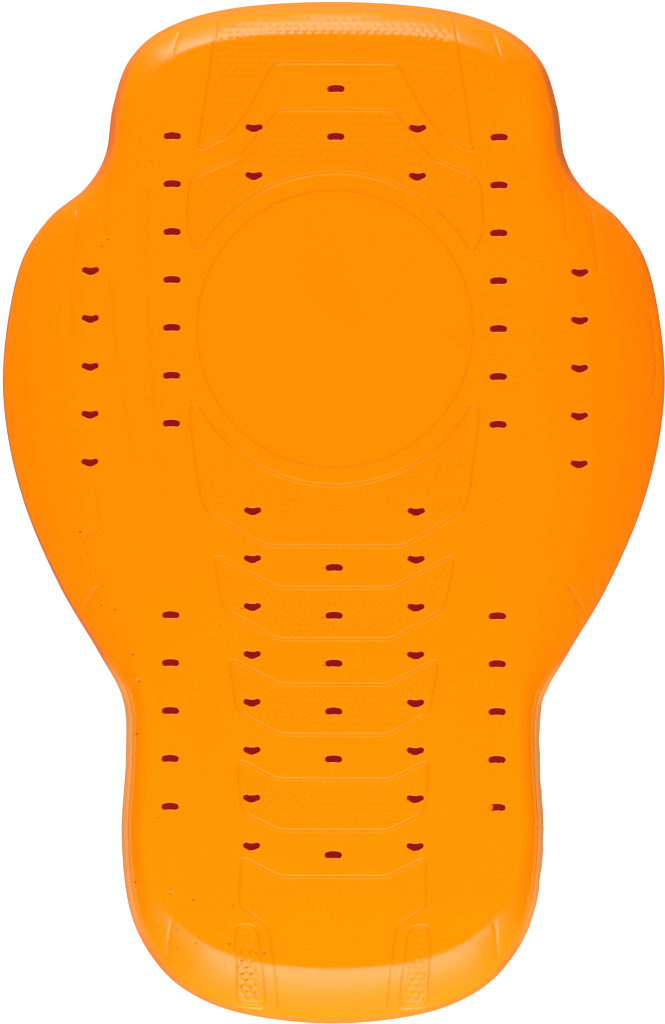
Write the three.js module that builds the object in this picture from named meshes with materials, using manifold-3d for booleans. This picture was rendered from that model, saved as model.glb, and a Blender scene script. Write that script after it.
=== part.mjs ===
import * as THREE from 'three';
import { mergeVertices } from 'three/addons/utils/BufferGeometryUtils.js';
import Module from 'manifold-3d';

const wasm = await Module();
wasm.setup();

// Heights of the pad in mm as it lies with its outer face up and its neck end towards +Y
const FACE_Z = 24;
const THICKNESS = 12.5;
const UNDER_Z = FACE_Z - THICKNESS;

// How finely the rim is divided along its length, over its top and under it
const STEPS_ALONG = 3;
const STEPS_TOP = 5;
const STEPS_UNDER = 4;

// Width of the flat strip that the rim rests on, and the power by which the underside falls to it
const LAND = 5;
const UNDER_BOW = 1.8;

// Air slots, which are bent up in some columns and down in the others
const SLOT_LENGTH = 7.4;
const SLOT_HEIGHT = 2.9;
const SLOT_CORNERS = 12;
const SLOT_ARCH = 0.25;
const SLOT_SAG = -0.7;
const SLOT_TOP_ROW_Y = 161.7;
const SLOT_ROW_PITCH = 20.57;

// Grooves round the panels, which lie on the flat face between the two Y values below
const GROOVE_HALF_WIDTH = 0.95;
const GROOVE_DEPTH = 0.6;
const GROOVE_CORNER = 3;
const GROOVE_SMOOTH_TURN = 0.25;
const GROOVE_STEP = 4;
const GROOVE_FLAT_TAIL_Y = -187;
const GROOVE_FLAT_NECK_Y = 197;

// The round groove and the wider ring that the neighbouring panels end on
const RING_CENTRE_Y = 79;
const RING_RADIUS = 67.2;
const RING_STEPS = 18;
const DISC_RADIUS = 59.4;
const DISC_STEPS = 56;

// Stations along the rim from the middle of the neck end down the right side to the middle of the tail
// rim is the outline, face is where the flat outer face ends, edge_z and foot_z are the top and bottom
// of the side wall, lip is how far the wall leans in, bow is the power by which the face falls to it
const STATIONS = [
  { rim: [0, 220], face: [0, 205], edge_z: 17, foot_z: 5, lip: 3.8, bow: 1.2 },
  { rim: [43.7, 217.2], face: [41, 203.2], edge_z: 16.9, foot_z: 4.8, lip: 3.8, bow: 1.2 },
  { rim: [72.5, 208.6], face: [65, 197], edge_z: 17, foot_z: 4.6, lip: 3.2, bow: 1.25 },
  { rim: [88.5, 194.8], face: [77, 186], edge_z: 18.4, foot_z: 4.6, lip: 2.8, bow: 1.5 },
  { rim: [95.6, 175], face: [83, 169], edge_z: 19, foot_z: 5, lip: 2.8, bow: 1.9 },
  { rim: [98.8, 154], face: [85.5, 150], edge_z: 18.8, foot_z: 5, lip: 2.8, bow: 2 },
  { rim: [107.2, 139.7], face: [86, 132], edge_z: 14.6, foot_z: 3.6, lip: 2, bow: 2.2 },
  { rim: [123.3, 126], face: [85, 113], edge_z: 9.6, foot_z: 1.4, lip: 1.2, bow: 2.4 },
  { rim: [135.6, 105.3], face: [83, 95], edge_z: 7, foot_z: 0, lip: 0.6, bow: 2.5 },
  { rim: [142.2, 68], face: [81, 65], edge_z: 6, foot_z: 0, lip: 0.5, bow: 2.5 },
  { rim: [141, 36.4], face: [79, 36], edge_z: 6, foot_z: 0, lip: 0.5, bow: 2.5 },
  { rim: [132.6, 1.9], face: [77, 6], edge_z: 7, foot_z: 0.5, lip: 0.6, bow: 2.5 },
  { rim: [117.5, -32.5], face: [76, -24], edge_z: 10.5, foot_z: 2.5, lip: 1.2, bow: 2.4 },
  { rim: [101.2, -60], face: [76.5, -51], edge_z: 15, foot_z: 5, lip: 2, bow: 2.2 },
  { rim: [90.4, -81], face: [78, -77], edge_z: 20, foot_z: 7.4, lip: 2.9, bow: 2.2 },
  { rim: [89.2, -106], face: [79, -106], edge_z: 20.6, foot_z: 8, lip: 2.9, bow: 2.2 },
  { rim: [90.9, -139], face: [80, -137], edge_z: 20.2, foot_z: 7, lip: 2.9, bow: 2.2 },
  { rim: [87.4, -170.3], face: [75, -163], edge_z: 17.6, foot_z: 4.6, lip: 2.8, bow: 1.6 },
  { rim: [77.9, -190.9], face: [63, -178], edge_z: 12.6, foot_z: 2, lip: 2.8, bow: 1.25 },
  { rim: [62.6, -206], face: [48.5, -187], edge_z: 10.6, foot_z: 0.6, lip: 2.6, bow: 1.2 },
  { rim: [38, -215.9], face: [29, -192.4], edge_z: 9.3, foot_z: 0, lip: 2.5, bow: 1.2 },
  { rim: [0, -220], face: [0, -194.5], edge_z: 9, foot_z: 0, lip: 2.5, bow: 1.2 },
];

// The rounded side wall below the edge, as shares of the lip and of the wall's height
const WALL = [
  { inset: 0.42, height: 0.72 },
  { inset: 0, height: 0.38 },
  { inset: 0.16, height: 0.13 },
  { inset: 0.62, height: 0 },
];

// Columns of air slots, mirrored to the left where they are off the middle
const SLOT_COLUMNS = [
  { x: 0, lift: 0, bend: SLOT_ARCH, rows: [-1, 0, 9, 10, 11, 12, 13, 15] },
  { x: 35.15, lift: 3.6, bend: SLOT_SAG, rows: [0, 1, 8, 9, 10, 11, 12, 13, 14, 15] },
  { x: 70.2, lift: 0, bend: SLOT_ARCH, rows: [0, 1, 2, 3, 4, 5, 6, 10, 11, 12, 13, 14] },
  { x: 105.2, lift: 3.7, bend: SLOT_SAG, rows: [3, 4, 5, 6, 7] },
];

// Section of a groove cutter from its upper left corner round to its upper right one
const GROOVE_SECTION = [
  { across: 1.5 * GROOVE_HALF_WIDTH, up: 6 },
  { across: 1.5 * GROOVE_HALF_WIDTH, up: 0.5 * GROOVE_DEPTH },
  { across: 0, up: -GROOVE_DEPTH },
  { across: -1.5 * GROOVE_HALF_WIDTH, up: 0.5 * GROOVE_DEPTH },
  { across: -1.5 * GROOVE_HALF_WIDTH, up: 6 },
];

// Panels across the middle, each by the corners of its right half from the middle line outwards
// arc closes a panel along the ring, from reach to the right to reach to the left, above or below
const PANELS = [
  {
    name: 'yoke',
    closed: false,
    half: [[26.5, 193.4], [38.3, 171.5], [45.3, 162.4], [59.4, 155.2], [50.8, 212]],
  },
  {
    name: 'collar',
    closed: true,
    half: [
      [24.9, 173.1], [36.7, 158.3], [41.6, 152.4], [61.2, 144.2], [63.2, 138.5], [63.6, 121],
      [60, 112.2],
    ],
    arc: { reach: 57.6, side: 1 },
  },
  {
    name: 'apron',
    closed: true,
    half: [[29.5, -14.3], [55.6, 1], [58, 8.5], [62.6, 43], [61, 46.4]],
    arc: { reach: 58.4, side: -1 },
  },
  {
    name: 'upper chevron',
    closed: true,
    half: [[24.6, -32.1], [50.4, -18.4], [51.6, -21.5], [47.4, -41.2], [24.4, -54.3]],
  },
  {
    name: 'middle chevron',
    closed: true,
    half: [[23.3, -73.7], [43.8, -62.8], [44.8, -66], [41.4, -85.4], [23.2, -95.3]],
  },
  {
    name: 'lower chevron',
    closed: true,
    half: [[24.4, -114.5], [40, -106.4], [41.2, -109.6], [39.2, -128.8], [23, -136.5]],
  },
  {
    name: 'tail plate',
    closed: false,
    half: [[22.8, -156.3], [39, -148.2], [40, -151], [40, -169], [27, -178.3], [23.7, -213]],
  },
];

// The narrow panel beside the tail plate, on the right
const TAIL_STRIP = [[33.4, -178], [40.8, -177], [42, -181], [41.4, -212], [28.8, -213], [32, -182]];

// Turns a geometry into a solid for joining and cutting
function solidFrom(geometry) {
  const bare = geometry.clone();
  bare.deleteAttribute('normal');
  bare.deleteAttribute('uv');
  const welded = mergeVertices(bare, 1e-4);
  const mesh = new wasm.Mesh({
    numProp: 3,
    vertProperties: new Float32Array(welded.attributes.position.array),
    triVerts: new Uint32Array(welded.index.array),
  });
  return new wasm.Manifold(mesh);
}

// Turns a solid back into a geometry
function geometryFrom(solid) {
  const mesh = solid.getMesh();
  const geometry = new THREE.BufferGeometry();
  geometry.setAttribute('position', new THREE.BufferAttribute(mesh.vertProperties, 3));
  geometry.setIndex(new THREE.BufferAttribute(mesh.triVerts, 1));
  geometry.computeVertexNormals();
  return geometry;
}

// Builds a geometry from its points and triangles
function geometryOf(points, triangles) {
  const geometry = new THREE.BufferGeometry();
  geometry.setAttribute('position', new THREE.Float32BufferAttribute(points.flat(), 3));
  geometry.setIndex(triangles.flat());
  return geometry;
}

// Joins two rows of points by a strip of triangles
function stripBetween(from, to, count) {
  const triangles = [];
  for (let k = 0; k < count - 1; k += 1) {
    triangles.push([from + k, from + k + 1, to + k]);
    triangles.push([to + k, from + k + 1, to + k + 1]);
  }
  return triangles;
}

// The ring of stations as smooth closed curves
function rimCurves() {
  const flip = (s) => ({ ...s, rim: [-s.rim[0], s.rim[1]], face: [-s.face[0], s.face[1]] });
  const ring = [...STATIONS, ...STATIONS.slice(1, -1).reverse().map(flip)];
  const curve = (point) => new THREE.CatmullRomCurve3(ring.map(point), true, 'catmullrom', 0.5);
  return {
    count: ring.length * STEPS_ALONG,
    rim: curve((s) => new THREE.Vector3(...s.rim, s.edge_z)),
    face: curve((s) => new THREE.Vector3(...s.face, s.foot_z)),
    form: curve((s) => new THREE.Vector3(s.lip, s.bow, 0)),
  };
}

// One section of the rim, from the flat face over the edge and back under to the flat underside
function rimSection(curves, t) {
  const rim = curves.rim.getPoint(t);
  const face = curves.face.getPoint(t);
  const { x: lip, y: bow } = curves.form.getPoint(t);
  const edgeZ = rim.z;
  const footZ = Math.max(0, face.z);
  const along = curves.rim.getTangent(t).setZ(0).normalize();
  const inward = new THREE.Vector3(along.y, -along.x, 0);
  const inset = (distance) => rim.clone().addScaledVector(inward, distance);
  const edge = inset(lip);
  const land = inset(WALL.at(-1).inset * lip + LAND);
  const section = [];
  for (let k = 0; k <= STEPS_TOP; k += 1) {
    const share = k / STEPS_TOP;
    const at = face.clone().lerp(edge, share);
    section.push([at.x, at.y, FACE_Z - (FACE_Z - edgeZ) * share ** bow]);
  }
  for (const row of WALL) {
    const at = inset(row.inset * lip);
    section.push([at.x, at.y, footZ + row.height * (edgeZ - footZ)]);
  }
  for (let k = STEPS_UNDER; k >= 0; k -= 1) {
    const share = k / STEPS_UNDER;
    const at = face.clone().lerp(land, share);
    section.push([at.x, at.y, UNDER_Z - (UNDER_Z - footZ) * share ** UNDER_BOW]);
  }
  return section;
}

// The pad without slots and grooves: the lofted rim closed by the flat face and the flat underside
function blankPad() {
  const curves = rimCurves();
  const sections = [];
  for (let i = 0; i < curves.count; i += 1) {
    sections.push(rimSection(curves, i / curves.count));
  }
  const width = sections[0].length;
  const triangles = [];
  sections.forEach((section, i) => {
    const next = (i + 1) % sections.length;
    triangles.push(...stripBetween(next * width, i * width, width));
  });
  const contour = sections.map((section) => new THREE.Vector2(section[0][0], section[0][1]));
  for (const [a, b, c] of THREE.ShapeUtils.triangulateShape(contour, [])) {
    const turn = THREE.ShapeUtils.area([contour[a], contour[b], contour[c]]);
    const [p, q] = turn > 0 ? [b, c] : [c, b];
    const last = width - 1;
    triangles.push([a * width, p * width, q * width]);
    triangles.push([a * width + last, q * width + last, p * width + last]);
  }
  return geometryOf(sections.flat(), triangles);
}

// An air slot, a bent bar with round ends, as a prism that passes right through the pad
function slotPrism(x, y, bend) {
  const halfLength = SLOT_LENGTH / 2;
  const radius = SLOT_HEIGHT / 2;
  const corners = [];
  for (let k = 0; k < SLOT_CORNERS; k += 1) {
    const angle = (2 * Math.PI * (k + 0.5)) / SLOT_CORNERS;
    const across = halfLength * Math.sign(Math.cos(angle)) * Math.abs(Math.cos(angle)) ** 0.8;
    const intoEnd = Math.max(Math.abs(across) - halfLength + radius, 0);
    const up = Math.sign(Math.sin(angle)) * Math.sqrt(radius ** 2 - intoEnd ** 2);
    const alongBar = Math.min(Math.abs(across) / (halfLength - radius), 1);
    const lift = bend * (0.5 - alongBar ** 2);
    corners.push(new THREE.Vector2(across, up + lift));
  }
  const options = { depth: 2 * FACE_Z, bevelEnabled: false };
  const prism = new THREE.ExtrudeGeometry(new THREE.Shape(corners), options);
  prism.translate(x, y, -FACE_Z / 2);
  return prism;
}

// Every air slot
function slotPrisms() {
  const prisms = [];
  for (const column of SLOT_COLUMNS) {
    const places = column.x === 0 ? [0] : [-column.x, column.x];
    for (const x of places) {
      for (const row of column.rows) {
        const y = SLOT_TOP_ROW_Y - SLOT_ROW_PITCH * row + column.lift;
        prisms.push(slotPrism(x, y, column.bend));
      }
    }
  }
  return prisms;
}

// A path with its sharp corners rounded
function roundedPath(corners, closed) {
  const points = [];
  const count = corners.length;
  corners.forEach((corner, k) => {
    const here = new THREE.Vector2(...corner);
    const before = new THREE.Vector2(...corners[(k + count - 1) % count]);
    const after = new THREE.Vector2(...corners[(k + 1) % count]);
    const isEnd = !closed && (k === 0 || k === count - 1);
    const turn = here.clone().sub(before).angleTo(after.clone().sub(here));
    if (isEnd || turn < GROOVE_SMOOTH_TURN) {
      points.push(here);
    } else {
      const share = (other) => Math.min(GROOVE_CORNER / here.distanceTo(other), 0.45);
      const start = here.clone().lerp(before, share(before));
      const end = here.clone().lerp(after, share(after));
      points.push(...new THREE.QuadraticBezierCurve(start, here, end).getPoints(2));
    }
  });
  return points;
}

// A path with its runs beyond the flat face divided, so that a groove follows the falling ends
function dividedPath(points, closed) {
  const result = [];
  const runs = closed ? points.length : points.length - 1;
  for (let k = 0; k < runs; k += 1) {
    const from = points[k];
    const to = points[(k + 1) % points.length];
    const belowNeck = Math.max(from.y, to.y) < GROOVE_FLAT_NECK_Y;
    const aboveTail = Math.min(from.y, to.y) > GROOVE_FLAT_TAIL_Y;
    const steps = belowNeck && aboveTail ? 1 : Math.ceil(from.distanceTo(to) / GROOVE_STEP);
    for (let j = 0; j < steps; j += 1) {
      result.push(from.clone().lerp(to, j / steps));
    }
  }
  if (!closed) {
    result.push(points.at(-1));
  }
  return result;
}

// The arc of the ring that closes a panel, from right to left
function ringArc({ reach, side }) {
  const arc = [];
  const end = Math.asin(reach / RING_RADIUS);
  for (let k = 0; k <= RING_STEPS; k += 1) {
    const angle = end - (2 * end * k) / RING_STEPS;
    arc.push([RING_RADIUS * Math.sin(angle), RING_CENTRE_Y + side * RING_RADIUS * Math.cos(angle)]);
  }
  return arc;
}

// The path of every groove
function groovePaths() {
  const flip = ([x, y]) => [-x, y];
  const paths = PANELS.map(({ closed, half, arc }) => ({
    closed,
    points: roundedPath([...half.map(flip).reverse(), ...half, ...(arc ? ringArc(arc) : [])], closed),
  }));
  const disc = new THREE.EllipseCurve(0, RING_CENTRE_Y, DISC_RADIUS, DISC_RADIUS);
  paths.push({ closed: true, points: disc.getPoints(DISC_STEPS).slice(0, -1) });
  paths.push({ closed: true, points: roundedPath(TAIL_STRIP, true) });
  paths.push({ closed: true, points: roundedPath(TAIL_STRIP.map(flip), true) });
  return paths;
}

// A groove cutter along a path, V-shaped below the surface and straight-sided above it
function grooveCutter({ closed, points: corners }, heightAt) {
  const path = dividedPath(corners, closed);
  const count = path.length;
  const width = GROOVE_SECTION.length;
  const last = width - 1;
  const points = [];
  path.forEach((here, k) => {
    const before = closed || k > 0 ? path[(k + count - 1) % count] : here;
    const after = closed || k < count - 1 ? path[(k + 1) % count] : here;
    const along = after.clone().sub(before).normalize();
    const z = heightAt(here);
    for (const row of GROOVE_SECTION) {
      points.push([here.x - along.y * row.across, here.y + along.x * row.across, z + row.up]);
    }
  });
  const triangles = [];
  const runs = closed ? count : count - 1;
  for (let k = 0; k < runs; k += 1) {
    const from = ((k + 1) % count) * width;
    const to = k * width;
    triangles.push(...stripBetween(from, to, width));
    triangles.push([from + last, from, to + last]);
    triangles.push([to + last, from, to]);
  }
  if (!closed) {
    const end = (count - 1) * width;
    for (let j = 1; j < last; j += 1) {
      triangles.push([0, j, j + 1]);
      triangles.push([end, end + j + 1, end + j]);
    }
  }
  return geometryOf(points, triangles);
}

// The finished pad
function backPad() {
  const blank = blankPad();
  const probe = new THREE.Mesh(blank, new THREE.MeshBasicMaterial());
  const ray = new THREE.Raycaster();
  const heightAt = (at) => {
    ray.set(new THREE.Vector3(at.x, at.y, 2 * FACE_Z), new THREE.Vector3(0, 0, -1));
    return ray.intersectObject(probe)[0].point.z;
  };
  let pad = solidFrom(blank);
  for (const prism of slotPrisms()) {
    pad = pad.subtract(solidFrom(prism));
  }
  for (const path of groovePaths()) {
    pad = pad.subtract(solidFrom(grooveCutter(path, heightAt)));
  }
  const foam = new THREE.MeshStandardMaterial({ color: 0xff9400, roughness: 0.45, metalness: 0 });
  const mesh = new THREE.Mesh(geometryFrom(pad), foam);
  mesh.name = 'back_pad';
  return mesh;
}

const group = new THREE.Group();
group.name = 'back_protector_insert';
group.add(backPad());

export default group;
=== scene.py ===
import math

import bpy
import numpy as np
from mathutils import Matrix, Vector
from mathutils.bvhtree import BVHTree
from mathutils.geometry import delaunay_2d_cdt
from mathutils.kdtree import KDTree


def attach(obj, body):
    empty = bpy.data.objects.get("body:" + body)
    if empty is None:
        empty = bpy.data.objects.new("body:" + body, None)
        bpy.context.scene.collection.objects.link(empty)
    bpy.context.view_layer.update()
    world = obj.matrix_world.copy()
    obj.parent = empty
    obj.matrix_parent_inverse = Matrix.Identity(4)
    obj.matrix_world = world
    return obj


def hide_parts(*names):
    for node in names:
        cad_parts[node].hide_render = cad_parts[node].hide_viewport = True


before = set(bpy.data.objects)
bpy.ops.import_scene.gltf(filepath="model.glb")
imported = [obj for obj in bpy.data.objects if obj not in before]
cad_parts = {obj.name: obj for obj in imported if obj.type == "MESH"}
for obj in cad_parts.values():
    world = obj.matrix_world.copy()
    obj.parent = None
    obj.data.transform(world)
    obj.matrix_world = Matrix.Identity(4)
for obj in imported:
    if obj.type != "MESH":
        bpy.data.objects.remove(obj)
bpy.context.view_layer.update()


# Outer form
# The pad is one pour of soft orange foam from a closed mould: a flat outer face
# that falls away to a rounded side wall, thin at the wings and thick at the waist.
# Sizes are in millimetres, on the same frame as the solid that it stands for.
FACE_Z = 24.0
UNDER_Z = 11.5
LAND = 5.0
FACE_BEND = 0.05
UNDER_POWER = 1.8
STEPS_PER_STATION = 24

# rim x, rim y, face x, face y, wall top, wall foot, lip, power of the fall
stations = (
    (0, 220, 0, 205, 17, 5, 3.8, 1.2),
    (43.7, 217.2, 41, 203.2, 16.9, 4.8, 3.8, 1.2),
    (72.5, 208.6, 65, 197, 17, 4.6, 3.2, 1.25),
    (88.5, 194.8, 77, 186, 18.4, 4.6, 2.8, 1.5),
    (95.6, 175, 83, 169, 19, 5, 2.8, 1.9),
    (98.8, 154, 85.5, 150, 18.8, 5, 2.8, 2),
    (107.2, 139.7, 86, 132, 14.6, 3.6, 2, 2.2),
    (123.3, 126, 85, 113, 9.6, 1.4, 1.2, 2.4),
    (135.6, 105.3, 83, 95, 7, 0, 0.6, 2.5),
    (142.2, 68, 81, 65, 6, 0, 0.5, 2.5),
    (141, 36.4, 79, 36, 6, 0, 0.5, 2.5),
    (132.6, 1.9, 77, 6, 7, 0.5, 0.6, 2.5),
    (117.5, -32.5, 76, -24, 10.5, 2.5, 1.2, 2.4),
    (101.2, -60, 76.5, -51, 15, 5, 2, 2.2),
    (90.4, -81, 78, -77, 20, 7.4, 2.9, 2.2),
    (89.2, -106, 79, -106, 20.6, 8, 2.9, 2.2),
    (90.9, -139, 80, -137, 20.2, 7, 2.9, 2.2),
    (87.4, -170.3, 75, -163, 17.6, 4.6, 2.8, 1.6),
    (77.9, -190.9, 63, -178, 12.6, 2, 2.8, 1.25),
    (62.6, -206, 48.5, -187, 10.6, 0.6, 2.6, 1.2),
    (38, -215.9, 29, -192.4, 9.3, 0, 2.5, 1.2),
    (0, -220, 0, -194.5, 9, 0, 2.5, 1.2),
)

# side wall from its top edge down to the foot, as shares of the lip and of the wall's height
wall_profile = np.array(((1, 1), (0.42, 0.72), (0, 0.38), (0.16, 0.13), (0.62, 0)))


def smooth_span(before, start, end, after, steps):
    """So many points from the start towards the end of a smooth span between its neighbours."""
    share = (np.arange(steps) / steps)[:, None]
    return 0.5 * (2 * start + (end - before) * share
                  + (2 * before - 5 * start + 4 * end - after) * share ** 2
                  + (3 * start - before - 3 * end + after) * share ** 3)


def closed_line(knots, steps):
    """A smooth closed line through the knots, with so many steps between two of them."""
    around = np.vstack((knots[-1:], knots, knots[:2]))
    return np.concatenate([smooth_span(*around[k:k + 4], steps) for k in range(len(knots))])


right_side = np.array(stations, float)
left_side = right_side[-2:0:-1] * (-1, 1, -1, 1, 1, 1, 1, 1)
pad_line = closed_line(np.vstack((right_side, left_side)), STEPS_PER_STATION)
rim, face_line = pad_line[:, 0:2], pad_line[:, 2:4]
wall_top, wall_foot = pad_line[:, 4], np.maximum(pad_line[:, 5], 0)
lip, power = pad_line[:, 6:7], pad_line[:, 7]
along = np.roll(rim, -1, 0) - np.roll(rim, 1, 0)
along /= np.linalg.norm(along, axis=1)[:, None]
inward = np.stack((along[:, 1], -along[:, 0]), 1)
edge_line = rim + inward * lip
land_line = rim + inward * (wall_profile[-1, 0] * lip + LAND)


def face_row(share):
    """One line round the falling border of the outer face."""
    flat = face_line + (edge_line - face_line) * np.reshape(share, (-1, 1))
    bend = np.hypot(np.maximum(np.ravel(share), 0), FACE_BEND) - FACE_BEND
    fall = (bend / (math.hypot(1, FACE_BEND) - FACE_BEND)) ** power
    return np.column_stack((flat, FACE_Z - (FACE_Z - wall_top) * fall))


def under_row(share):
    """One line round the falling border of the hollow under side."""
    flat = face_line + (land_line - face_line) * share
    return np.column_stack((flat, UNDER_Z - (UNDER_Z - wall_foot) * share ** UNDER_POWER))


def wall_row(inset, height):
    """One line round the side wall."""
    return np.column_stack((rim + inward * lip * inset, wall_foot + (wall_top - wall_foot) * height))


def border_tree(rows):
    """The border's surface, for reading its height at a point."""
    count = len(rows[0])
    quads = [(r * count + k, r * count + (k + 1) % count,
              (r + 1) * count + (k + 1) % count, (r + 1) * count + k)
             for r in range(len(rows) - 1) for k in range(count)]
    return BVHTree.FromPolygons(np.concatenate(rows).tolist(), quads)


face_tree = border_tree([face_row((k / 40) ** 1.5) for k in range(41)] + [wall_row(*wall_profile[1])])
under_tree = border_tree([under_row(k / 12) for k in range(13)] + [wall_row(0.16, 0)])


def face_height(points):
    """Height of the smooth outer face over each point."""
    down = Vector((0, 0, -1))
    hits = (face_tree.ray_cast(Vector((x, y, 90)), down)[0] for x, y in points)
    return np.array([FACE_Z if hit is None else hit.z for hit in hits])


def under_height(points):
    """Height of the under side below each point."""
    up = Vector((0, 0, 1))
    hits = (under_tree.ray_cast(Vector((x, y, -90)), up)[0] for x, y in points)
    return np.array([UNDER_Z if hit is None else hit.z for hit in hits])


def inside(points, outline):
    """Which points lie within a closed outline."""
    x, y = points[:, 0:1], points[:, 1:2]
    ax, ay = outline[:, 0], outline[:, 1]
    bx, by = np.roll(ax, -1), np.roll(ay, -1)
    run = np.where(by == ay, 1e-9, by - ay)
    crossed = ((ay > y) != (by > y)) & (x < (bx - ax) * (y - ay) / run + ax)
    return crossed.sum(1) % 2 == 1


# Air slots
# Sixty-two short slots go straight through the foam in staggered columns: arched bars
# and sagging kidneys in turn. The mould pins leave each a softly rounded mouth.
SLOT_LENGTH = 7.4
SLOT_HEIGHT = 2.9
SLOT_TOP_ROW = 161.7
SLOT_PITCH = 20.57
MOUTH_WIDTH = 0.8
MOUTH_DEPTH = 0.2

# column x, lift, bend of the upper edge, bend of the lower edge, rows
slot_columns = (
    (0, 0, 0.3, 0.18, (-1, 0, 9, 10, 11, 12, 13, 15)),
    (35.15, 3.6, -0.45, -0.9, (0, 1, 8, 9, 10, 11, 12, 13, 14, 15)),
    (70.2, 0, 0.3, 0.18, (0, 1, 2, 3, 4, 5, 6, 10, 11, 12, 13, 14)),
    (105.2, 3.7, -0.45, -0.9, (3, 4, 5, 6, 7)),
)


def slot_outline(x, y, upper_bend, lower_bend, grow, corners=26):
    """The mouth of a slot, a bent bar with round ends, or a line drawn a little outside it."""
    turn = (np.arange(corners) + 0.5) / corners * 2 * math.pi
    half, radius = SLOT_LENGTH / 2, SLOT_HEIGHT / 2
    across = np.sign(np.cos(turn)) * np.abs(np.cos(turn)) ** 0.8 * half
    reach = np.clip(np.abs(across) - half + radius, 0, radius)
    up = np.sign(np.sin(turn)) * np.sqrt(np.maximum(radius ** 2 - reach ** 2, 0))
    along_bar = np.minimum(np.abs(across) / (half - radius), 1)
    bend = np.where(up > 0, upper_bend, lower_bend)
    outline = np.column_stack((across, up + bend * (0.5 - along_bar ** 2.6)))
    if grow:
        run = np.roll(outline, -1, 0) - np.roll(outline, 1, 0)
        run /= np.linalg.norm(run, axis=1)[:, None]
        outline = outline + grow * np.column_stack((run[:, 1], -run[:, 0]))
    return outline + (x, y)


slots = []
for column, lift, upper_bend, lower_bend, rows in slot_columns:
    for side in (1, -1) if column else (1,):
        for row in rows:
            slots.append((side * column, SLOT_TOP_ROW - SLOT_PITCH * row + lift, upper_bend, lower_bend))


def tree_of(points):
    """Points laid out for finding the nearest one."""
    tree = KDTree(len(points))
    for k, (x, y) in enumerate(points):
        tree.insert((x, y, 0), k)
    tree.balance()
    return tree


def distance_to(tree, points):
    """How far each point is from the nearest one in the tree."""
    return np.array([tree.find((x, y, 0))[2] for x, y in points])


mouth_tree = tree_of(np.concatenate([slot_outline(*slot, 0, 96) for slot in slots]))


def mouth_fall(points):
    """How far the face rounds down into the mouths of the slots."""
    near = np.clip(1 - distance_to(mouth_tree, points) / MOUTH_WIDTH, 0, 1)
    return MOUTH_DEPTH * near ** 2


# Grooves
# Narrow rounded grooves, sunk by ribs of the mould, outline the panels across the back,
# the round disc with its ring, and the two strips by the tail.
GROOVE_HALF = 1.05
GROOVE_SHOULDER = 1.35
GROOVE_DEPTH = 0.24
DISC_DEPTH = 0.17
GROOVE_CORNER = 3.0
GROOVE_STEP = 1.3
RING_Y = 79.0
RING_RADIUS = 67.2
DISC_RADIUS = 59.4


def ring_arc(reach, side):
    """The part of the ring that closes a panel, from right to left."""
    end = math.asin(reach / RING_RADIUS)
    turn = np.linspace(end, -end, 90)
    return np.column_stack((RING_RADIUS * np.sin(turn), RING_Y + side * RING_RADIUS * np.cos(turn)))


def both_halves(half, arc=None):
    """A panel's corners from its right half, with the arc that closes it."""
    half = np.array(half, float)
    parts = [(half * (-1, 1))[::-1], half]
    return np.concatenate(parts + ([arc] if arc is not None else []))


def rounded(corners, closed):
    """A line through the corners with each sharp one rounded."""
    points = []
    for k, here in enumerate(corners):
        before, after = corners[k - 1], corners[(k + 1) % len(corners)]
        into, out = here - before, after - here
        turn = math.acos(np.clip(into @ out / np.linalg.norm(into) / np.linalg.norm(out), -1, 1))
        if turn < 0.25 or (not closed and k in (0, len(corners) - 1)):
            points.append(here)
            continue
        start = here - into * min(GROOVE_CORNER / np.linalg.norm(into), 0.45)
        end = here + out * min(GROOVE_CORNER / np.linalg.norm(out), 0.45)
        for share in np.linspace(0, 1, 7):
            points.append((1 - share) ** 2 * start + 2 * share * (1 - share) * here + share ** 2 * end)
    return np.array(points)


def even_steps(points, closed, step):
    """The same line with points at even steps."""
    line = np.vstack((points, points[:1])) if closed else points
    run = np.concatenate(([0], np.cumsum(np.linalg.norm(np.diff(line, axis=0), axis=1))))
    places = np.linspace(0, run[-1], max(2, round(run[-1] / step)) + 1)
    places = places[:-1] if closed else places
    return np.column_stack([np.interp(places, run, line[:, k]) for k in (0, 1)])


yoke = rounded(both_halves(((26.5, 193.4), (38.3, 171.5), (45.3, 162.4), (59.4, 155.2), (50.8, 212))), False)
collar = rounded(both_halves(((24.9, 173.1), (36.7, 158.3), (41.6, 152.4), (61.2, 144.2), (63.2, 138.5),
                              (63.6, 121), (60, 112.2)), ring_arc(57.6, 1)), True)
apron = rounded(both_halves(((29.5, -14.3), (55.6, 1), (58, 8.5), (62.6, 43), (61, 46.4)),
                            ring_arc(58.4, -1)), True)
chevrons = [rounded(both_halves(half), True) for half in (
    ((24.6, -32.1), (50.4, -18.4), (51.6, -21.5), (47.4, -41.2), (24.4, -54.3)),
    ((23.3, -73.7), (43.8, -62.8), (44.8, -66), (41.4, -85.4), (23.2, -95.3)),
    ((24.4, -114.5), (40, -106.4), (41.2, -109.6), (39.2, -128.8), (23, -136.5)),
)]
tail_plate = rounded(both_halves(((22.8, -156.3), (39, -148.2), (40, -151), (40, -169), (27, -178.3),
                                  (23.7, -213))), False)
strip = np.array(((33.4, -178), (40.8, -177), (42, -181), (41.4, -212), (28.8, -213), (32, -182)))
strips = [rounded(strip, True), rounded(strip * (-1, 1), True)]
disc_turn = np.arange(260) / 260 * 2 * math.pi
disc = np.column_stack((DISC_RADIUS * np.cos(disc_turn), RING_Y + DISC_RADIUS * np.sin(disc_turn)))

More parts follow.
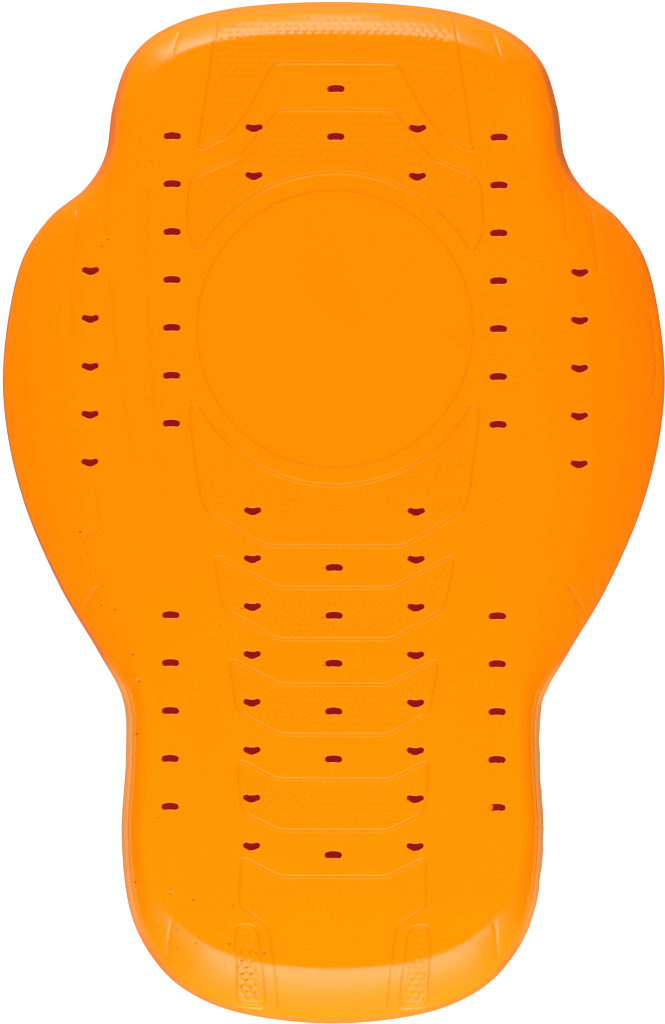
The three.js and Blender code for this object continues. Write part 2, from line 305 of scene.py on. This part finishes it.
grooves = [(yoke, False), (collar, True), (apron, True), (tail_plate, False), (disc, True)]
grooves += [(outline, True) for outline in chevrons + strips]
disc_tree = tree_of(even_steps(disc, True, 0.2))
panel_paths = [(even_steps(line, closed, 0.2), closed) for line, closed in grooves if line is not disc]
groove_tree = tree_of(np.concatenate([path for path, closed in panel_paths]))


def groove_fall(points):
    """How deep the grooves are at each point: a rounded channel with soft shoulders."""
    fall = np.zeros(len(points))
    for tree, depth in ((groove_tree, GROOVE_DEPTH), (disc_tree, DISC_DEPTH)):
        near = np.clip(distance_to(tree, points) / GROOVE_HALF, 0, 1)
        fall = np.maximum(fall, depth * (0.5 + 0.5 * np.cos(math.pi * near)))
    return fall


# Scales
# Inside the panels and strips the mould is etched with rows of small six-sided scales,
# faint on the flat face and prouder where the ends of the pad fall away.
SCALE_ACROSS = 3.8
SCALE_ROW = 2.85
SCALE_TOP = 0.82
SCALE_CROWN = 0.1
CLEAR_OF_EDGE = 2.3
CLEAR_OF_GROOVE = 1.4

# corners of one scale, with those next to each other in turn
scale_corners = [(SCALE_ACROSS / 2 * across, SCALE_ROW / 3 * up)
                 for across, up in ((0, 2), (1, 1), (1, -1), (0, -2), (-1, -1), (-1, 1))]


def scale_spots(outline):
    """Where the scales inside an outline have their middles."""
    low, high = outline.min(0), outline.max(0)
    spots = []
    for row in range(int(low[1] // SCALE_ROW), int(high[1] // SCALE_ROW) + 1):
        for column in range(int(low[0] // SCALE_ACROSS) - 1, int(high[0] // SCALE_ACROSS) + 2):
            spots.append(((column + 0.5 * (row % 2)) * SCALE_ACROSS, row * SCALE_ROW))
    spots = np.array(spots)
    return spots[inside(spots, outline)]


# Moulding marks
# A poured piece carries small marks of its mould and of the pour: soft creases where the form
# changes along the wings, burst bubbles, a few pimples, and a skin of flash in one slot.

# half width, depth on the right half, depth on the left half, then the line down the right half
right_creases = (
    (1.0, 0.32, 0.32, ((67.4, 206), (69.4, 200.5), (70.8, 195))),
    (1.0, 0.32, 0.32, ((68.7, -173), (70.2, -181), (71, -190))),
    (0.5, 0.36, 0.36, ((110.7, 129.2), (112.6, 112), (113.2, 104))),
    (0.5, 0.0, 0.36, ((113.2, 104), (113.5, 100.2), (113.8, 89), (114, 77))),
    (0.5, 0.36, 0.36, ((97.8, 139.4), (99, 129), (99.5, 119.9))),
    (0.5, 0.0, 0.3, ((96.9, 99.2), (96.2, 88), (94.8, 72.2), (92, 54.5), (88.3, 32.1), (83.6, 18.1))),
    (0.5, 0.0, 0.24, ((79.9, 137.5), (80.8, 120.8), (80, 92), (79, 62.9), (76.6, 33), (71.9, 3.2))),
    (0.5, 0.26, 0.26, ((102, -32), (107, -40), (110, -45))),
    (0.5, 0.22, 0.0, ((135.4, 89.3), (138.2, 74), (138.9, 60), (137.2, 49.5), (130, 43))),
    (0.5, 0.0, 0.22, ((117.5, 19.4), (106.8, 12.4), (103, 8.6), (101.9, 0), (101.9, -8.6), (107.8, -9.1))),
)
creases = [(half, depth, even_steps(np.array(line, float) * (side, 1), False, 2.0))
           for half, *depths, line in right_creases for side, depth in zip((1, -1), depths) if depth]

# the slot that the flash hangs in, how far from its middle it starts, and how far it sags
FLASH_SLOT = (70.2, -126.3)
FLASH_FROM = 1.6
FLASH_SAG = 0.5

# x, y, half width, rise: a burst bubble sinks in, a pimple stands out
marks = (
    (-109.2, -8.4, 0.6, -0.42), (-106.1, -17.9, 0.45, -0.24), (-107.4, -12.9, 0.4, -0.24),
    (-94.2, -41.8, 0.5, -0.32), (-100.1, -40, 0.45, -0.28), (-102.4, -24.6, 0.4, -0.24),
    (-99.3, -31.8, 0.4, -0.24), (-84.7, -71.4, 1.3, 0.6), (-83.7, -72.6, 0.55, -0.4),
    (-86.8, -59.6, 1.2, 0.5), (-86.4, -61, 0.5, -0.35), (-84.7, -95.2, 0.55, -0.42),
    (-44.5, -185.2, 0.6, -0.42), (-60.6, -165.3, 1.0, 0.35), (-60.1, -166.4, 0.5, -0.35),
    (-58.9, -185, 0.45, -0.28), (-57.6, 168.9, 0.45, -0.28), (-69.7, -162.6, 1.0, 0.35),
    (-69.9, -163.7, 0.5, -0.3), (-42.8, -168.7, 0.45, -0.28), (-75.4, -131.1, 0.5, -0.32),
    (-84.9, -158.9, 0.5, -0.28), (-97.6, 117, 0.55, -0.32), (-100.3, 114.1, 0.5, -0.28),
    (-66.9, -187.5, 0.45, -0.28), (-67.4, -179.3, 0.45, -0.28), (-79, 150.9, 0.45, -0.28),
    (-39.8, -41, 0.55, -0.42), (-49.1, -48.4, 0.45, -0.28), (-4.9, -44.8, 0.55, -0.42),
    (-4.4, -65.4, 0.5, -0.42), (-4.7, -23.5, 0.45, -0.35), (58.9, 12.2, 0.5, -0.28),
    (-39.7, -188.5, 0.42, -0.28), (-35.2, -188.5, 0.42, -0.28), (-33.2, -189, 0.42, -0.32),
    (-29.6, -189.1, 0.6, -0.42), (-25.3, -188.3, 0.4, -0.24), (-39, -192.2, 0.42, -0.32),
    (-40.6, -195.2, 0.45, -0.32), (-37, -195.4, 0.45, -0.32), (-39, -198.2, 0.45, -0.35),
    (-35.2, -198.2, 0.45, -0.32), (-37.2, -200.9, 0.4, -0.28), (-29.6, -200.4, 0.38, -0.24),
    (-39, -203.7, 0.45, -0.32), (-35.3, -204, 0.42, -0.28), (-36.8, -205.9, 0.45, -0.28),
    (-33.4, -206.6, 0.45, -0.28),
)

# rings round a mark, as shares of its half width and of its rise
PIMPLE_RINGS = ((1.5, 0.0), (1.1, 0.2), (0.6, 0.8))
BUBBLE_RINGS = ((1.5, 0.0), (1.05, 0.1), (0.75, 0.9))
MARK_CORNERS = 7


def crease_fall(points):
    """How far the soft creases sink into the face."""
    fall = np.zeros(len(points))
    for half, depth, line in creases:
        near = np.flatnonzero((np.abs(points - line.mean(0)) < np.ptp(line, 0) / 2 + 2 * half).all(1))
        close = np.clip(distance_to(tree_of(even_steps(line, False, 0.4)), points[near]) / half, 0, 1)
        fall[near] = np.maximum(fall[near], depth * (0.5 + 0.5 * np.cos(math.pi * close)))
    return fall


# Outer sheet
# The moulded outer skin: one sheet of triangles whose points follow the slots, the grooves,
# the scales and the creases, and lie further apart where the face is smooth.
FACE_GRID = 4.5
UNDER_GRID = 9.0
EDGE_ROUNDING = 0.22
TRIM_LINE = 0.55
sheet_points, sheet_rises, sheet_edges = [], [], []


def lay(points, clear, rises=None, loop=False, pairs=(), wanted=True):
    """Lays points on the sheet that keep clear of those already there, joined as a loop or in pairs."""
    keep = np.ones(len(points), bool) & wanted
    if clear and sheet_points:
        keep &= distance_to(tree_of(sheet_points), points) > clear
        keep &= inside(points, edge_line)
    number = {}
    for k in np.flatnonzero(keep):
        number[k] = len(sheet_points)
        sheet_points.append(tuple(points[k]))
        sheet_rises.append(0.0 if rises is None else float(rises[k]))
    if loop:
        pairs = [(k, (k + 1) % len(points)) for k in range(len(points))]
    for start, end in pairs:
        if start in number and end in number:
            sheet_edges.append((number[start], number[end]))
    return number


def lay_lines(lines, clear):
    """Lays several joined lines that may come as close to each other as they like."""
    points = np.concatenate([line for line, _ in lines])
    keep = distance_to(tree_of(sheet_points), points) > clear
    keep &= inside(points, edge_line)
    first = 0
    for line, closed in lines:
        number = {}
        for k in range(len(line)):
            if keep[first + k]:
                number[k] = len(sheet_points)
                sheet_points.append(tuple(line[k]))
                sheet_rises.append(0.0)
        for k in range(len(line) if closed else len(line) - 1):
            pair = (number.get(k), number.get((k + 1) % len(line)))
            if None not in pair:
                sheet_edges.append(pair)
        first += len(line)


def beside(line, closed, offset):
    """The same line moved sideways."""
    if closed:
        run = np.roll(line, -1, 0) - np.roll(line, 1, 0)
    else:
        run = np.gradient(line, axis=0)
    run /= np.linalg.norm(run, axis=1)[:, None]
    return line + offset * np.column_stack((run[:, 1], -run[:, 0]))


def cut_sheet(border, facing):
    """The laid points joined into triangles within the border and round the slots, facing up or down."""
    points, _, faces, came_from, *_ = delaunay_2d_cdt(
        [Vector(point) for point in sheet_points], sheet_edges, [], 0, 1e-5)
    points, faces = np.array([tuple(point) for point in points]), np.array(faces)
    number = {source: k for k, sources in enumerate(came_from) for source in sources}
    centres = points[faces].mean(1)
    outside = np.zeros(len(faces), bool)
    on_border = np.isin(faces, [number[k] for k in range(len(border))]).all(1)
    outside[on_border] = ~inside(centres[on_border], border)
    for slot in slots:
        near = np.flatnonzero((np.abs(centres - slot[:2]) < (SLOT_LENGTH, SLOT_HEIGHT)).all(1))
        outside[near] |= inside(centres[near], slot_outline(*slot, 0))
    faces = faces[~outside]
    corner = points[faces]
    wrong = facing * np.cross(corner[:, 1] - corner[:, 0], corner[:, 2] - corner[:, 0]) < 0
    faces[wrong] = faces[wrong][:, ::-1]
    return points, faces, came_from, number


def face_grid(step):
    """Points at even steps over the flat part of the face."""
    grid = np.array([(x, y) for x in np.arange(-90, 90.1, step) for y in np.arange(-200, 210, step)])
    return grid[inside(grid, face_line)]


edge_ring = edge_line[::2]
edge_tree = tree_of(edge_line)
lay(edge_ring, 0, loop=True)
slot_numbers = []
for slot in slots:
    slot_numbers.append(lay(slot_outline(*slot, 0), 0, loop=True))
    lay(slot_outline(*slot, 0.45), 0, loop=True)
    lay(slot_outline(*slot, 1.05), 0)

groove_lines = []
for line, closed in grooves:
    path = even_steps(line, closed, GROOVE_STEP)
    for offset in (-GROOVE_SHOULDER, *GROOVE_HALF * np.arange(-5, 6) / 5, GROOVE_SHOULDER):
        groove_lines.append((beside(path, closed, offset), closed))
lay_lines(groove_lines, 0.5)

# outline, depth between the scales, and how much deeper for each millimetre that the face has fallen
scaled = [(np.vstack((yoke, (0, 217))), 0.15, -0.025), (collar, 0.17, 0), (apron, 0.13, 0)]
scaled += [(outline, 0.11, 0) for outline in chevrons] + [(outline, 0.14, 0.02) for outline in strips]
for outline, depth, deeper in scaled:
    numbers, spots, rises, pairs = {}, [], [], []
    middles = scale_spots(outline)
    for x, y in middles[distance_to(edge_tree, middles) > CLEAR_OF_EDGE]:
        spots.append((x, y))
        rises.append(SCALE_CROWN)
        for share, rise in ((SCALE_TOP, 0.0), (1.0, -1.0)):
            loop = []
            for across, up in scale_corners:
                spot = (round(x + share * across, 3), round(y + share * up, 3))
                if spot not in numbers:
                    numbers[spot] = len(spots)
                    spots.append(spot)
                    rises.append(rise)
                loop.append(numbers[spot])
            pairs += zip(loop, loop[1:] + loop[:1])
    spots = np.array(spots)
    proud = depth + deeper * np.clip(FACE_Z - face_height(spots), 0, 4)
    wanted = (distance_to(groove_tree, spots) > CLEAR_OF_GROOVE) & inside(spots, outline)
    lay(spots, 0.3, rises * proud, pairs=pairs, wanted=wanted)

edge_width = np.linalg.norm(edge_line - face_line, axis=1)
for inset in (0, 0.5, 1.1, 1.9, -0.5):
    lay(face_row(inset / edge_width)[::2, :2], 0.45)
lay_lines([(face_row(1 - TRIM_LINE / edge_width)[::2, :2], True)], 0.4)

lay_lines([(beside(line, False, share * half), False)
           for half, depth, line in creases for share in (-1, -0.5, 0, 0.5, 1)], 0.5)

pit_numbers = []
mark_turn = np.arange(MARK_CORNERS) / MARK_CORNERS * 2 * math.pi
mark_ring = np.column_stack((np.cos(mark_turn), np.sin(mark_turn)))
for x, y, half, rise in marks:
    for share, part in PIMPLE_RINGS if rise > 0 else BUBBLE_RINGS:
        ring = lay((x, y) + share * half * mark_ring, 0.1, np.full(MARK_CORNERS, rise * part))
    middle = lay(np.array(((x, y),)), 0.05, np.array((rise,)))
    if rise < 0:
        pit_numbers += [*ring.values(), *middle.values()]

for share in (0.1, 0.2, 0.32, 0.44, 0.56, 0.68, 0.8, 0.9):
    lay(face_row(share)[::2, :2], 0.7)
lay(face_grid(FACE_GRID), 2.0)

flat, triangles, came_from, own_number = cut_sheet(edge_ring, 1)
rises = np.array([max((sheet_rises[s] for s in sources), key=abs, default=0.0) for sources in came_from])
heights = face_height(flat) - groove_fall(flat) - mouth_fall(flat) - crease_fall(flat) + rises
ring_numbers = [own_number[k] for k in range(len(edge_ring))]
heights[ring_numbers] = wall_top[::2] - EDGE_ROUNDING

# flash partly closes one slot: a ragged skin of foam hangs in its left end
flashed = min(range(len(slots)), key=lambda k: math.dist(slots[k][:2], FLASH_SLOT))
flash_x = slots[flashed][0] - FLASH_FROM
flash_numbers = np.array([own_number[k] for k in slot_numbers[flashed].values()])
hanging = flash_numbers[flat[flash_numbers, 0] < flash_x]
flat[hanging, 0] = flash_x + 0.35 * np.sin(7 * flat[hanging, 1])
heights[hanging] -= FLASH_SAG

# finishes by their number on the pad
SKIN, SLOT_WALL, SIDE_WALL = 0, 1, 2
pad_points = [np.column_stack((flat, heights))]
pad_faces = [triangles]
pad_finish = [np.full(len(triangles), SKIN)]

# painted shade darkens the skin along the middle of the grooves and round the disc, and browns it in the
# burst bubbles;
# a painted highlight lightens the shoulders of the grooves that run across the back
SHADE_HALF = 0.9
SHADE_NARROWED = 0.4
DISC_SHADE_HALF = 0.8
HIGHLIGHT_FROM_MIDDLE = 0.68
HIGHLIGHT_HALF = 0.26
sideways = [beside(path, closed, 1) - path for path, closed in panel_paths]
runs_across = np.abs(np.concatenate(sideways))[:, 1]
found = [groove_tree.find((x, y, 0)) for x, y in flat]
to_groove = np.array([distance for _, _, distance in found])
across = np.clip((runs_across[[k for _, k, _ in found]] - 0.75) / 0.2, 0, 1)
# the painted highlight falls on the shoulders of the grooves that run across the back
painted_highlight = across * np.exp(-((to_groove - HIGHLIGHT_FROM_MIDDLE) / HIGHLIGHT_HALF) ** 2)
painted_groove_shade = np.clip(1 - to_groove / (SHADE_HALF - SHADE_NARROWED * across), 0, 1)
painted_disc_shade = np.clip(1 - distance_to(disc_tree, flat) / DISC_SHADE_HALF, 0, 1)
painted_groove_shade = np.maximum(painted_groove_shade, painted_disc_shade)
painted_pit_shade = np.zeros(len(flat))
# painted shade in the burst bubbles
painted_pit_shade[[own_number[k] for k in pit_numbers]] = 1

# along the waist the edge is trimmed: painted shade darkens the fall towards it, a painted highlight draws
# a pale line just inside it, and a faint line of painted shade runs along it
TRIM_TOP = -62.0
TRIM_TOP_FADE = 14.0
TRIM_LOW = -190.0
TRIM_LOW_FADE = 20.0
TRIM_SHADE_WIDTH = 8.0
TRIM_LINE_HALF = 0.3


def trimmed_share(y):
    """How much of the trimmed edge there is at each place along the pad."""
    return np.clip((y - TRIM_LOW) / TRIM_LOW_FADE, 0, 1) * np.clip((TRIM_TOP - y) / TRIM_TOP_FADE, 0, 1)


from_edge, trimmed = distance_to(edge_tree, flat), trimmed_share(flat[:, 1])
# painted shade on the fall towards the trimmed edge
painted_groove_shade = np.maximum(painted_groove_shade, 0.75 * trimmed * np.clip(1 - from_edge / TRIM_SHADE_WIDTH, 0, 1))
painted_highlight = np.maximum(painted_highlight, trimmed * np.exp(-((from_edge - TRIM_LINE) / TRIM_LINE_HALF) ** 2))
# a faint line of painted shade along the trimmed edge
painted_pit_shade[ring_numbers] = 0.22 * trimmed[ring_numbers]


# Side wall and under side
# Below the parting line the wall rounds under to a narrow foot, and the inner side is a
# plain hollow that lies against the wearer's back. The slots come out in it.
def open_line(knots, steps):
    """A smooth line through the knots from the first to the last."""
    beyond = np.vstack((2 * knots[0] - knots[1], knots, 2 * knots[-1] - knots[-2]))
    spans = [smooth_span(*beyond[k:k + 4], steps) for k in range(len(knots) - 1)]
    return np.vstack(spans + [knots[-1:]])


def add_points(points):
    """Adds points to the pad and gives their numbers."""
    first = sum(len(part) for part in pad_points)
    pad_points.append(points)
    return first + np.arange(len(points))


def join_rings(upper, lower, finish, inwards=False):
    """Closes the band between two rings of points, with its faces outwards or inwards."""
    after_upper, after_lower = np.roll(upper, -1), np.roll(lower, -1)
    for corners in ((upper, after_upper, after_lower), (upper, after_lower, lower)):
        pad_faces.append(np.column_stack(corners[::-1] if inwards else corners))
    pad_finish.append(np.full(2 * len(upper), finish))


# the wall is cut back a little, unevenly, where it was trimmed by hand on the right
RAGGED = 0.28
wall_x, wall_y = rim[::2].T
wall_trim = trimmed_share(wall_y)
uneven = np.abs(np.sin(0.21 * wall_y) + 0.5 * np.sin(0.53 * wall_y))
cut_back = (RAGGED * wall_trim * (wall_x > 0) * uneven)[:, None]

upper = np.array(ring_numbers)
for inset, height in np.maximum(open_line(wall_profile, 4)[1:], 0):
    wall_points = wall_row(inset, height)[::2]
    wall_points[:, :2] += inward[::2] * cut_back * max(0.0, 1 - 2 * inset)
    lower = add_points(wall_points)
    join_rings(upper, lower, SIDE_WALL)
    # a painted reflection of the pale floor on the trimmed stretches of the side wall
    painted_highlight = np.concatenate((painted_highlight, 0.6 * wall_trim))
    upper = lower

sheet_points, sheet_rises, sheet_edges = [], [], []
land_ring = land_line[::2]
lay(land_ring, 0, loop=True)
under_numbers = [lay(slot_outline(*slot, 0), 0, loop=True) for slot in slots]
for share in (0.85, 0.7, 0.5, 0.25, 0):
    lay(under_row(share)[::4, :2], 2.0)
lay(face_grid(UNDER_GRID), 4.0)
under_flat, under_triangles, _, under_own = cut_sheet(land_ring, -1)
land_numbers = [under_own[k] for k in range(len(land_ring))]
under_heights = under_height(under_flat)
under_heights[land_numbers] = wall_foot[::2]
under_points = np.column_stack((under_flat, under_heights))
under_all = add_points(under_points)
pad_faces.append(under_all[under_triangles])
pad_finish.append(np.full(len(under_triangles), SKIN))

# the foot meets the hollow
join_rings(upper, under_all[land_numbers], SKIN)

# the walls of the slots join the two sheets
for top_numbers, low_numbers in zip(slot_numbers, under_numbers):
    upper = np.array([own_number[k] for k in top_numbers.values()])
    last = [under_own[k] for k in low_numbers.values()]
    top_ring, low_ring = pad_points[0][upper], under_points[last]
    for share in (0.06, 0.3, 0.65):
        lower = add_points(top_ring + (low_ring - top_ring) * share)
        join_rings(upper, lower, SLOT_WALL, inwards=True)
        upper = lower
    join_rings(upper, under_all[last], SLOT_WALL, inwards=True)

pad_mesh = bpy.data.meshes.new("back_pad_foam")
pad_mesh.from_pydata((np.concatenate(pad_points) * 0.001).tolist(), [], np.concatenate(pad_faces).tolist())
pad_mesh.polygons.foreach_set("material_index", np.concatenate(pad_finish))
pad_mesh.polygons.foreach_set("use_smooth", np.ones(len(pad_mesh.polygons), bool))
shades = {"painted groove shade": painted_groove_shade, "painted pit shade": painted_pit_shade, "painted highlight": painted_highlight}
for name, values in shades.items():
    layer = pad_mesh.attributes.new(name, "FLOAT", "POINT")
    layer.data.foreach_set("value", np.pad(values, (0, len(pad_mesh.vertices) - len(values))))
pad_mesh.update()
pad = bpy.data.objects.new("back_pad_foam", pad_mesh)
bpy.context.collection.objects.link(pad)
bpy.ops.object.select_all(action="DESELECT")
pad.select_set(True)
bpy.context.view_layer.objects.active = pad
bpy.ops.object.mode_set(mode="EDIT")
bpy.ops.mesh.select_all(action="SELECT")
bpy.ops.mesh.remove_doubles(threshold=2e-6)
bpy.ops.mesh.normals_make_consistent(inside=False)
bpy.ops.object.mode_set(mode="OBJECT")
pad.select_set(False)


# Foam finish
# The foam's closed skin is a satin, faintly mottled orange with a fine orange-peel grain, with painted
# shade deeper in the grooves and burst bubbles and a painted highlight along the shoulders of the grooves.
# The side wall is a duller skin of a slightly deeper orange that is painted shade, with a painted reflection
# on its trimmed stretches, and inside the slots the same foam is a deep dull red of painted shade.
CLOUDS_PER_METRE = 28
GRAINS_PER_METRE = 1100
grain = bpy.data.node_groups.new("foam grain", "ShaderNodeTree")
grain.interface.new_socket("Cloud Size", in_out="INPUT", socket_type="NodeSocketFloat")
grain.interface.new_socket("Grain Size", in_out="INPUT", socket_type="NodeSocketFloat")
grain.interface.new_socket("Cloud", in_out="OUTPUT", socket_type="NodeSocketFloat")
grain.interface.new_socket("Grain", in_out="OUTPUT", socket_type="NodeSocketFloat")
grain_in = grain.nodes.new("NodeGroupInput")
grain_out = grain.nodes.new("NodeGroupOutput")
place = grain.nodes.new("ShaderNodeTexCoord")
cloud = grain.nodes.new("ShaderNodeTexNoise")
cloud.inputs["Detail"].default_value = 4
peel = grain.nodes.new("ShaderNodeTexNoise")
peel.inputs["Detail"].default_value = 2
grain.links.new(place.outputs["Object"], cloud.inputs["Vector"])
grain.links.new(place.outputs["Object"], peel.inputs["Vector"])
grain.links.new(grain_in.outputs["Cloud Size"], cloud.inputs["Scale"])
grain.links.new(grain_in.outputs["Grain Size"], peel.inputs["Scale"])
grain.links.new(cloud.outputs["Fac"], grain_out.inputs["Cloud"])
grain.links.new(peel.outputs["Fac"], grain_out.inputs["Grain"])


def foam_finish(name, pale, deep, highlight_tint, smooth, rough, shine, peel_height):
    """A foam surface between two shades of its colour and two roughnesses, with its painted shade and
    painted highlight.
    """
    finish = bpy.data.materials.new(name)
    finish.use_nodes = True
    nodes, links = finish.node_tree.nodes, finish.node_tree.links
    shader = nodes["Principled BSDF"]
    shader.inputs["Specular IOR Level"].default_value = shine
    texture = nodes.new("ShaderNodeGroup")
    texture.node_tree = grain
    texture.inputs["Cloud Size"].default_value = CLOUDS_PER_METRE
    texture.inputs["Grain Size"].default_value = GRAINS_PER_METRE
    shade = nodes.new("ShaderNodeMix")
    shade.data_type = "RGBA"
    shade.inputs["A"].default_value = (*deep, 1)
    shade.inputs["B"].default_value = (*pale, 1)
    colour = shade.outputs["Result"]
    # the tones that the painted shade in the grooves and in the burst bubbles mixes in
    painted_groove_tone = (0.66 * deep[0], 0.87 * deep[1], deep[2])
    painted_pit_tone = (0.56 * deep[0], 0.52 * deep[1], deep[2])
    masks = {}
    for layer, tint in (("painted groove shade", painted_groove_tone), ("painted pit shade", painted_pit_tone), ("painted highlight", highlight_tint)):
        mask = nodes.new("ShaderNodeAttribute")
        mask.attribute_name = layer
        masks[layer] = mask
        tone = nodes.new("ShaderNodeMix")
        tone.data_type = "RGBA"
        tone.inputs["B"].default_value = (*tint, 1)
        links.new(colour, tone.inputs["A"])
        links.new(mask.outputs["Fac"], tone.inputs["Factor"])
        colour = tone.outputs["Result"]
    gloss = nodes.new("ShaderNodeMapRange")
    gloss.inputs["From Min"].default_value = 0.3
    gloss.inputs["From Max"].default_value = 0.7
    gloss.inputs["To Min"].default_value = smooth
    gloss.inputs["To Max"].default_value = rough
    bump = nodes.new("ShaderNodeBump")
    bump.inputs["Strength"].default_value = 0.5
    bump.inputs["Distance"].default_value = peel_height
    links.new(texture.outputs["Cloud"], shade.inputs["Factor"])
    links.new(colour, shader.inputs["Base Color"])
    links.new(texture.outputs["Grain"], gloss.inputs["Value"])
    dulled = nodes.new("ShaderNodeMath")
    dulled.use_clamp = True
    links.new(gloss.outputs["Result"], dulled.inputs[0])
    links.new(masks["painted pit shade"].outputs["Fac"], dulled.inputs[1])
    links.new(dulled.outputs["Value"], shader.inputs["Roughness"])
    links.new(texture.outputs["Grain"], bump.inputs["Height"])
    links.new(bump.outputs["Normal"], shader.inputs["Normal"])
    return finish


pad.data.materials.append(foam_finish("orange foam skin", (0.96, 0.206, 0.0), (0.93, 0.192, 0.0),
                                      (0.93, 0.261, 0.01), 0.23, 0.3, 0.165, 0.00002))
# the slots' deep dull red is painted shade
pad.data.materials.append(foam_finish("slot foam in painted shade", (0.45, 0.025, 0.011), (0.39, 0.02, 0.009),
                                      (0.39, 0.027, 0.019), 0.7, 0.8, 0.1, 0.00006))
# the side wall's deeper orange is painted shade, and its pale tone on the trimmed stretches a painted
# reflection
pad.data.materials.append(foam_finish("side wall foam in painted shade", (0.88, 0.18, 0.012), (0.84, 0.17, 0.01),
                                      (0.98, 0.425, 0.1), 0.3, 0.4, 0.2, 0.00003))
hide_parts("back_pad")
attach(pad, "root")


# Floor
# A white light table stands for the floor, lit from below round the pad so that it throws no
# shadow. The part that the pad covers is painted and glows a deep red, a painted stand-in for the light that
# soaks through the foam, and the table is kept out of the foam's mirror shine.
bpy.ops.object.select_all(action="DESELECT")
bpy.ops.mesh.primitive_plane_add(size=40, location=(0, 0, -0.0002))
floor = bpy.context.active_object
floor.name = "floor"
floor.visible_glossy = False
bpy.ops.object.transform_apply(location=True, rotation=False, scale=False)
table = bpy.data.materials.new("white light table")
table.use_nodes = True
nodes, links = table.node_tree.nodes, table.node_tree.links
shader = nodes["Principled BSDF"]
shader.inputs["Roughness"].default_value = 0.9
shader.inputs["Specular IOR Level"].default_value = 0.1
shader.inputs["Emission Strength"].default_value = 1.0
place = nodes.new("ShaderNodeTexCoord")
parts = nodes.new("ShaderNodeSeparateXYZ")
links.new(place.outputs["Object"], parts.inputs["Vector"])


def within(socket, middle, half):
    """One where the value is close to the middle, zero elsewhere."""
    node = nodes.new("ShaderNodeMath")
    node.operation = "COMPARE"
    node.inputs[1].default_value = middle
    node.inputs[2].default_value = half
    links.new(socket, node.inputs[0])
    return node.outputs[0]


def combined(operation, first, second):
    """The product or the larger of two values."""
    node = nodes.new("ShaderNodeMath")
    node.operation = operation
    links.new(first, node.inputs[0])
    links.new(second, node.inputs[1])
    return node.outputs[0]


# the covered part is three oblongs, under the body, its two ends and the wings
side_to_side, end_to_end = parts.outputs["X"], parts.outputs["Y"]
body_part = combined("MULTIPLY", within(side_to_side, 0, 0.079), within(end_to_end, 0.02, 0.155))
ends_part = combined("MULTIPLY", within(side_to_side, 0, 0.05), within(end_to_end, 0, 0.195))
wing_part = combined("MULTIPLY", within(side_to_side, 0, 0.118), within(end_to_end, 0.061, 0.051))
covered = combined("MAXIMUM", combined("MAXIMUM", body_part, ends_part), wing_part)
# painted glow and painted shade: the covered part emits and reflects a deep red
glow = nodes.new("ShaderNodeMix")
glow.data_type = "RGBA"
glow.inputs["A"].default_value = (1.0, 1.0, 1.0, 1)
glow.inputs["B"].default_value = (0.24, 0.008, 0.005, 1)
links.new(covered, glow.inputs["Factor"])
links.new(glow.outputs["Result"], shader.inputs["Emission Color"])
shade = nodes.new("ShaderNodeMix")
shade.data_type = "RGBA"
shade.inputs["A"].default_value = (0.22, 0.22, 0.22, 1)
shade.inputs["B"].default_value = (0.2, 0.013, 0.007, 1)
links.new(covered, shade.inputs["Factor"])
links.new(shade.outputs["Result"], shader.inputs["Base Color"])
floor.data.materials.append(table)


# Light
# Plain soft studio light: a large soft box at the neck end, another at the tail end with a weaker
# one beside it, a pale band round the horizon, and nothing over the pad to veil its flat face.
PAD_MIDDLE = (0, 0, 0.012)


def soft_box(name, side, elevation, away, width, height, watts):
    """A soft box seen from the pad in a direction, at an elevation and a distance."""
    tilt = math.radians(elevation)
    turn = math.radians(side)
    place = Vector((math.sin(turn) * math.cos(tilt), math.cos(turn) * math.cos(tilt), math.sin(tilt))) * away
    lamp = bpy.data.lights.new(name, "AREA")
    lamp.shape = "RECTANGLE"
    lamp.size = width
    lamp.size_y = height
    lamp.energy = watts
    lamp_object = bpy.data.objects.new(name, lamp)
    lamp_object.location = Vector(PAD_MIDDLE) + place
    lamp_object.rotation_euler = (-place).to_track_quat("-Z", "Y").to_euler()
    lamp_object.visible_camera = False
    bpy.context.collection.objects.link(lamp_object)


# degrees round from the neck end, elevation, distance, width, height, watts
soft_box("neck soft box", -9, 27, 1.7, 1.3, 0.72, 45.8)
soft_box("tail soft box", 174, 32, 1.2, 1.2, 0.62, 24.2)
soft_box("weaker tail soft box", 208, 34, 1.2, 0.6, 0.62, 2.2)

room = bpy.data.worlds.new("pale studio")
bpy.context.scene.world = room
room.use_nodes = True
nodes, links = room.node_tree.nodes, room.node_tree.links
sky = nodes["Background"]
place = nodes.new("ShaderNodeTexCoord")
parts = nodes.new("ShaderNodeSeparateXYZ")
band = nodes.new("ShaderNodeMapRange")
band.inputs["From Min"].default_value = 0.0
band.inputs["From Max"].default_value = 0.1
band.inputs["To Min"].default_value = 0.2
band.inputs["To Max"].default_value = 0.0
links.new(place.outputs["Generated"], parts.inputs["Vector"])
links.new(parts.outputs["Z"], band.inputs["Value"])
links.new(band.outputs["Result"], sky.inputs["Strength"])
bpy.context.scene.view_settings.view_transform = "Standard"


# Camera
# A long lens high above the middle of the pad looks down on it, 1.2 degrees off upright and neck
# upwards, so that the pad fills the frame from end to end with next to no perspective.
CAMERA_AWAY = 8.0
AIM_HEIGHT = 0.008
FRAME_HEIGHT = 0.44083
lens = bpy.data.cameras.new("overhead camera")
lens.sensor_width = 36
lens.lens = (CAMERA_AWAY - AIM_HEIGHT) * lens.sensor_width / FRAME_HEIGHT
lens.clip_end = 100
camera = bpy.data.objects.new("overhead camera", lens)
camera.rotation_euler = (0, math.radians(-1.2), math.radians(0.2))
camera.location = Vector((-0.0005, 0.0004, AIM_HEIGHT))
camera.location += camera.rotation_euler.to_matrix() @ Vector((0, 0, CAMERA_AWAY - AIM_HEIGHT))
bpy.context.collection.objects.link(camera)
bpy.context.scene.camera = camera
